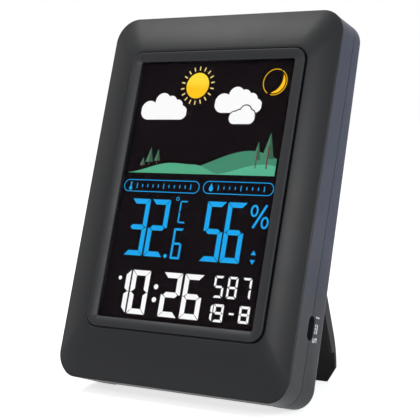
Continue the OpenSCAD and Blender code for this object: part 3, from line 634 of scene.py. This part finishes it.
def sky():
    """Two clouds, and a small one with a dark rim before them. Each is left, right, foot and bumps."""
    first = -41.3, -13.4, 131.3, [(-36.4, 136.2, 4.9), (-28.8, 140.6, 4.5), (-23.7, 140.2, 3.4),
                                  (-19.7, 138.4, 3.2), (-17.0, 134.9, 3.6)]
    second = 2.2, 29.2, 134.7, [(7.1, 139.6, 4.9), (14.1, 143.4, 4.4), (18.9, 143.0, 3.4),
                                (22.9, 141.2, 3.4), (25.7, 138.2, 3.5)]
    small = 11.6, 26.4, 129.1, [(14.9, 132.2, 3.1), (17.3, 133.5, 2.6), (20.7, 135.2, 3.1),
                                (23.2, 133.2, 3.0), (23.3, 132.1, 3.0)]
    clouds = Sheet()
    cloud(clouds, *first)
    cloud(clouds, *second)
    clouds.make("clouds", lit("clouds", WHITE))
    rim = layer(CLOUD_RIM_LAYER)
    cloud(rim, *small, grow=0.6)
    rim.make("small_cloud_rim", lit("small_cloud_rim", srgb(36, 36, 40)))
    front = layer(SMALL_CLOUD_LAYER)
    cloud(front, *small)
    front.make("small_cloud", lit("small_cloud", WHITE))


def moon():
    """A ring in two arcs, and a crescent between an arc and a parabola on the same chord."""
    x, z, crescent_r, bulge = 34.5, 149.9, 5.6, 0.2
    sheet = Sheet()
    for start, end in ((-105, 60), (66, 238)):
        sheet.ring(x, z, r=6.6, width=0.34, start=start, end=end)
    a = np.radians(np.linspace(-106, 42, 48))
    outer = np.stack([x + crescent_r * np.cos(a), z + crescent_r * np.sin(a)], -1)
    chord = outer[-1] - outer[0]
    t = np.linspace(0, 1, 48)[:, None]
    inner = outer[0] + chord * t + np.array([chord[1], -chord[0]]) * bulge * 4 * t * (1 - t)
    sheet.strip(outer, inner)
    sheet.make("moon", lit("moon", YELLOW))


HILL_FOOT = 103.9

# Each fir: its place, its crown's foot, top and half width, and its trunk's foot
FIRS = (
    (-34.6, 107.7, 111.8, 1.5, 107.0),
    (-30.8, 109.4, 117.0, 2.2, 107.9),
    (-26.2, 110.0, 116.3, 1.7, 108.6),
    (31.0, 111.4, 120.7, 2.2, 107.4),
    (37.0, 112.0, 125.0, 3.4, 107.2),
)


def hill(name, sheet, x0, x1, ridge, colour, steps):
    """A slope from the landscape's foot up to a smooth line through its ridge points."""
    x = np.linspace(x0, x1, steps)
    sheet.strip(np.stack([x, np.full_like(x, HILL_FOOT)], -1), np.stack([x, smooth_line(x, ridge)], -1))
    sheet.make(name, lit(name, colour))


def hills():
    """A far hill on the right, and two before it that run out in the middle."""
    hill("far_hill", Sheet(), -12.0, 42.2,
         [(-14, 105.5), (27.5, 115.9), (52, 110.2)], srgb(60, 134, 104), steps=90)
    hill("near_hill", layer(NEAR_HILL_LAYER), -42.4, 14.0,
         [(-45, HILL_FOOT), (-17, 109.2), (-4, 108.6), (13, 104), (20, 104)], srgb(78, 168, 130), steps=70)
    hill("front_hill", layer(FRONT_HILL_LAYER), 9.0, 42.2,
         [(6, HILL_FOOT), (36, 109.4), (60, 104)], srgb(82, 176, 140), steps=50)


def firs():
    """Slim crowns with a light and a dark half, and trunks that show through and below them."""
    light, dark, trunks = layer(FIR_LAYER), layer(FIR_LAYER), layer(TRUNK_LAYER)
    for x, foot, top, half, trunk_foot in FIRS:
        light.polygon([(x - half, foot), (x, foot + 0.3), (x, top)])
        dark.polygon([(x, foot + 0.3), (x + half, foot), (x, top)])
        trunks.line(x, trunk_foot, x, foot + (top - foot) * 0.5, 0.2 + 0.16 * half)
    light.make("firs_light_side", lit("firs_light_side", srgb(70, 128, 98)))
    dark.make("firs_dark_side", lit("firs_dark_side", srgb(46, 92, 70)))
    trunks.make("fir_trunks", lit("fir_trunks", srgb(96, 50, 38)))


def temperature(sheet):
    """Two large figures, a point and a small figure, with the sign for degrees Celsius."""
    figures(sheet, "32", x=-36.6, z=62.2, w=11.0, h=28.4, pitch=12.1, stroke=2.5)
    figure(sheet, "6", x=-8.8, z=61.7, w=5.6, h=15.1, stroke=1.1, gap=0.12)
    sheet.disc(-11.6, 62.9, r=0.95)
    sheet.ring(-9.7, 91.3, r=0.95, width=0.35)
    figure(sheet, "C", x=-7.8, z=79.4, w=4.6, h=11.0, stroke=0.7, gap=0.3)


def humidity(sheet):
    """Two large figures, a percent sign of two ovals and a bar, and a pair of small triangles."""
    figures(sheet, "56", x=8.1, z=61.7, w=10.7, h=29.0, pitch=11.6, stroke=2.5)
    for x, z in ((34.6, 87.1), (41.0, 81.6)):
        sheet.ring(x, z, r=2.1, width=0.95, high=2.9)
    sheet.line(34.9, 78.9, 40.9, 90.0, width=1.15)
    left, right, middle = 36.2, 39.0, 37.6
    sheet.polygon([(left, 66.2), (right, 66.2), (middle, 68.4)])
    sheet.polygon([(left, 63.9), (middle, 61.7), (right, 63.9)])


def scale_marks(sheet, x, z, count, major):
    """A row of short upright marks, with a taller one at every so many."""
    pitch, width = 3.2, 0.45
    for k in range(count):
        half = 1.3 if k % major == 0 else 0.75
        sheet.line(x + k * pitch, z - half, x + k * pitch, z + half, width)


def labels(sheet):
    """Two labels with round ends: a thermometer and a drop, each with a short scale."""
    stadium(sheet, x0=-43.5, x1=1.6, z0=94.2, z1=100.4, width=0.35)
    stadium(sheet, x0=3.7, x1=43.1, z0=94.4, z1=100.7, width=0.35)
    bulb_x, drop_x, drop_r = -39.3, 8.3, 1.15
    sheet.disc(bulb_x, 95.9, r=0.95)
    sheet.line(bulb_x, 96.4, bulb_x, 99.2, width=0.7)
    scale_marks(sheet, x=-35.5, z=97.3, count=11, major=5)
    sheet.disc(drop_x, 96.8, drop_r)
    sheet.polygon([(drop_x - drop_r + 0.1, 97.3), (drop_x + drop_r - 0.1, 97.3), (drop_x, 99.7)])
    scale_marks(sheet, x=12.4, z=97.5, count=9, major=4)


def readings():
    """The blue part of the display."""
    blue = Sheet()
    temperature(blue)
    humidity(blue)
    labels(blue)
    blue.make("blue_readings", lit("blue_readings", BLUE))


def clock():
    """The white part of the display: the time, with the day's and the date's figures beside it."""
    foot, tall, stroke = 33.6, 21.5, 2.6
    white = Sheet()
    figure(white, "1", x=-35.3, z=foot, w=5.6, h=tall, stroke=stroke)
    figure(white, "0", x=-28.7, z=foot, w=10.6, h=tall, stroke=stroke)
    for z in (41.4, 47.7):
        white.disc(-13.7, z, r=1.25)
    figures(white, "26", x=-10.2, z=foot, w=10.9, h=tall, pitch=12.4, stroke=stroke)
    figures(white, "587", x=19.0, z=45.0, w=5.4, h=10.4, pitch=7.5, stroke=1.1, gap=0.5)
    figure(white, "1", x=14.8, z=33.7, w=5.6, h=8.4, stroke=1.2)
    figure(white, "9", x=20.9, z=33.7, w=5.5, h=8.4, stroke=1.2)
    white.line(29.6, 38.1, 32.2, 38.1, width=0.9)
    figure(white, "8", x=35.0, z=34.2, w=5.6, h=8.0, stroke=1.2)
    white.disc(-35.9, 50.7, r=1.0)
    white.make("white_readings", lit("white_readings", WHITE))


# ---- Printed marks ----


def power_mark():
    """White marks on the side behind the power slot: two figures and the sign for direct current."""
    side, ink = CASE_W / 2 + 0.02, 0.06
    foot_y, start_z = 23.8, 31.0
    figure_w, figure_h, stroke = 2.3, 3.8, 0.7
    bar_x0, bar_x1, dash, dash_pitch, bar_w = 4.1, 8.5, 1.2, 1.6, 0.8
    sheet = Sheet()
    figure(sheet, "5", 0.0, 0.0, figure_w, figure_h, stroke, gap=0.0)
    sheet.line(bar_x0, 1.1, bar_x1, 1.1, bar_w)
    for k in range(3):
        x = bar_x0 + k * dash_pitch
        sheet.line(x, 2.7, x + dash, 2.7, bar_w)
    figure(sheet, "1", 9.6, 0.0, figure_w, figure_h, stroke, gap=0.0)
    along, depth, up = sheet.points.T
    out = np.where(depth == ART_FRONT, side, side - ink)
    points = np.stack([out, foot_y - up, start_z + along], -1)
    make_piece("power_mark", points, sheet.faces, PRINT_WHITE, "case")


# The signs on the rear face: how far out they lie, the middle one's height, and the pitch of three
SIGN_X, SIGN_Z, SIGN_PITCH = 34.5, 132.96, 13.0


def set_sign(sheet, x, z):
    """A ring with a dot in it."""
    sheet.ring(x, z, r=1.7, width=0.45)
    sheet.disc(x, z, r=0.55)


def bell_sign(sheet, x, z):
    """A bell: a half round on a flared skirt, with a clapper below."""
    crown_r, flare, crown_z, skirt_z = 1.1, 1.7, z + 0.5, z - 0.9
    a = np.radians(np.linspace(0, 180, 25))
    sheet.polygon(np.stack([x + crown_r * np.cos(a), crown_z + crown_r * np.sin(a)], -1))
    sheet.polygon([(x - crown_r, crown_z), (x - flare, skirt_z),
                   (x + flare, skirt_z), (x + crown_r, crown_z)])
    sheet.disc(x, z - 1.45, r=0.4)


def lamp_sign(sheet, x, z):
    """A dot with short rays."""
    sheet.disc(x, z, r=0.8)
    sheet.spokes(x, z, start_r=1.15, end_r=1.85, width=0.35, count=8)


def key_signs():
    """Plain signs beside the five keys, on the rear face."""
    half, foot, tip = 1.7, 1.3, 1.6
    sheet = Sheet(0.03, -0.05)
    set_sign(sheet, SIGN_X, SIGN_Z + SIGN_PITCH)
    sheet.polygon([(SIGN_X - half, SIGN_Z - foot), (SIGN_X + half, SIGN_Z - foot), (SIGN_X, SIGN_Z + tip)])
    z = SIGN_Z - SIGN_PITCH
    sheet.polygon([(SIGN_X - half, z + foot), (SIGN_X, z - tip), (SIGN_X + half, z + foot)])
    bell_sign(sheet, -SIGN_X, SIGN_Z + SIGN_PITCH / 2)
    lamp_sign(sheet, -SIGN_X, SIGN_Z - SIGN_PITCH / 2)
    make_piece("key_signs", on_rear(sheet.points), sheet.faces, PRINT_WHITE, "case")


def door_arrow():
    """A raised arrow on the battery door, towards its finger notch."""
    foot_z, neck_z, tip_z, half = 130.6, 136.0, 140.2, 2.4
    arrow = Sheet(0.15, -0.1)
    arrow.polygon([(-half, neck_z), (half, neck_z), (0, tip_z)])
    arrow.line(0, foot_z, 0, neck_z, width=1.7)
    make_piece("door_arrow", on_rear(arrow.points), arrow.faces, FINISH["cover_plastic"], "door")


# ---- The object ----

front_frame()
bezel()
smoothed_copy("side_band", "mid_housing")
smoothed_copy("rear_shell", "rear_cover")
smoothed_copy("leg_shell", "stand_leg")
smoothed_copy("door_panel", "battery_door")
for key in ("set", "up", "down", "alarm", "light"):
    smoothed_copy(key + "_key_cap", key + "_button")
sun()
sky()
moon()
hills()
firs()
readings()
clock()
power_mark()
key_signs()
door_arrow()

for node, piece in frame["nodes"].items():
    if not piece.hide_render:
        piece.data.materials.clear()
        piece.data.materials.append(FINISH[SLOT_OF[node]])
frame["nodes"]["display_window"].visible_shadow = False

# ---- Stage, lights and camera ----

# How strongly the floor glows to the camera, gloss and glass, and how strongly the world lights the object
FLOOR_LIFT = 0.7
WORLD_LIGHT = 0.4
FLOOR_HALF = 3.0

# Each lamp: its place and side in metres, its power in watts, its colour; all aim at the case's middle
LAMPS = {
    "key": ((-0.6, -0.4, 1.06), 0.34, 2.9, (1, 1, 1)),
    "front": ((-0.12, -1.05, 0.65), 0.3, 2.4, (1, 1, 1)),
    "fill": ((0.9, -0.2, 0.45), 0.6, 3.2, (0.84, 0.9, 1.0)),
}
LAMP_AIM = (0, 0, 0.09)

# The camera's place in metres, the azimuth, elevation and roll of its sight in degrees, and its lens in mm
CAMERA_AT = (0.35219, -0.52818, 0.15301)
AZIMUTH, ELEVATION, ROLL = 33.70, 5.78, -1.18
LENS, SENSOR_W = 111.95, 36.0


def seen_strength(nodes, links, seen_level, other_level):
    """A strength for what the camera, gloss and glass see, and another for what lights the object."""
    path = nodes.new("ShaderNodeLightPath")
    seen = path.outputs["Is Camera Ray"]
    for name in ("Is Glossy Ray", "Is Transmission Ray"):
        either = nodes.new("ShaderNodeMath")
        either.operation = "MAXIMUM"
        links.new(seen, either.inputs[0])
        links.new(path.outputs[name], either.inputs[1])
        seen = either.outputs["Value"]
    strength = nodes.new("ShaderNodeMapRange")
    strength.inputs["To Min"].default_value = other_level
    strength.inputs["To Max"].default_value = seen_level
    links.new(seen, strength.inputs["Value"])
    return strength.outputs["Result"]


def stage_material():
    """A pale floor that looks white from the camera and still takes the object's shadow."""
    m, nodes, links, shader = new_material("floor_pale")
    soft = noise_of(nodes, links, scale=2)
    pale = mixed(nodes, links, soft, (0.93, 0.93, 0.93), (0.95, 0.95, 0.95))
    links.new(pale, shader.inputs["Base Color"])
    shader.inputs["Roughness"].default_value = 0.9
    shader.inputs["Specular IOR Level"].default_value = 0.0
    shader.inputs["Emission Color"].default_value = (1, 1, 1, 1)
    links.new(seen_strength(nodes, links, FLOOR_LIFT, 0.0), shader.inputs["Emission Strength"])
    return m


def set_stage():
    """A level square floor under the object."""
    half = FLOOR_HALF
    corners = [(-half, -half, 0), (half, -half, 0), (half, half, 0), (-half, half, 0)]
    mesh = bpy.data.meshes.new("floor")
    mesh.from_pydata(corners, [], [(0, 1, 2, 3)])
    floor = bpy.data.objects.new("floor", mesh)
    bpy.context.scene.collection.objects.link(floor)
    mesh.materials.append(stage_material())


def set_world():
    """White to the camera and in glass and gloss, at a plain level as light on the object."""
    world = bpy.data.worlds.new("studio")
    world.use_nodes = True
    nodes, links = world.node_tree.nodes, world.node_tree.links
    background = nodes["Background"]
    background.inputs["Color"].default_value = (1, 1, 1, 1)
    links.new(seen_strength(nodes, links, 1.0, WORLD_LIGHT), background.inputs["Strength"])
    bpy.context.scene.world = world


def area_light(name, at, side, power, colour):
    """A soft square lamp at one point, turned to the case's middle."""
    data = bpy.data.lights.new(name, "AREA")
    data.shape = "RECTANGLE"
    data.size = side
    data.size_y = side
    data.energy = power
    data.color = colour
    lamp = bpy.data.objects.new(name, data)
    bpy.context.scene.collection.objects.link(lamp)
    away = np.array(at) - np.array(LAMP_AIM)
    tilt = math.acos(away[2] / float(np.linalg.norm(away)))
    turn = math.atan2(away[0], -away[1])
    lamp.matrix_world = Matrix.Translation(at) @ Euler((tilt, 0, turn)).to_matrix().to_4x4()


def set_camera():
    """The camera: level along its azimuth at first, then tipped down by its elevation and rolled."""
    data = bpy.data.cameras.new("camera")
    data.sensor_width = SENSOR_W
    data.lens = LENS
    data.clip_start = 0.01
    camera = bpy.data.objects.new("camera", data)
    bpy.context.scene.collection.objects.link(camera)
    azimuth, elevation, roll = math.radians(AZIMUTH), math.radians(ELEVATION), math.radians(ROLL)
    turn = Euler((math.pi / 2 - elevation, 0, azimuth)).to_matrix().to_4x4()
    camera.matrix_world = Matrix.Translation(CAMERA_AT) @ turn @ Matrix.Rotation(roll, 4, "Z")
    bpy.context.scene.camera = camera


set_stage()
set_world()
for lamp_name, (at, side, power, colour) in LAMPS.items():
    area_light(lamp_name, at, side, power, colour)
set_camera()
bpy.context.scene.view_settings.view_transform = "Standard"
